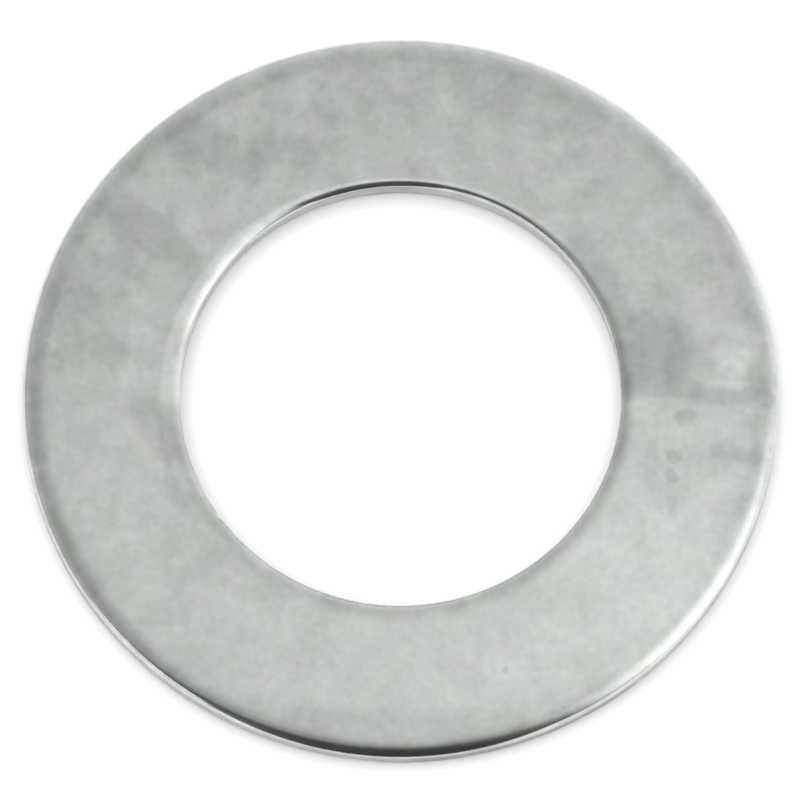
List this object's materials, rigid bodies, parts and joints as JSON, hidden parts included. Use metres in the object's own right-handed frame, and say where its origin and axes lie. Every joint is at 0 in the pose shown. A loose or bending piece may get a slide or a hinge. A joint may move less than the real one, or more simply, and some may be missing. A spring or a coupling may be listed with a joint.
{
  "type": "flat washer",
  "caption": "Thin, narrow flat washer stamped from sheet steel, with rolled-over upper edges, straight lands and a plated grey finish.",
  "frame": {"origin": "centre of the washer's underside, the face it rests on", "axes": "+Z along the washer's axis, out of the face with the rolled-over edges; X and Y are any two directions across it"},
  "size_m": [0.0334, 0.0334, 0.0016],
  "materials": {
    "plated_steel": "dull zinc plate over stamped steel, satin, with cloudy patches"
  },
  "bodies": {
    "root": {"flat_washer": "plated_steel"}
  },
  "joints": []
}
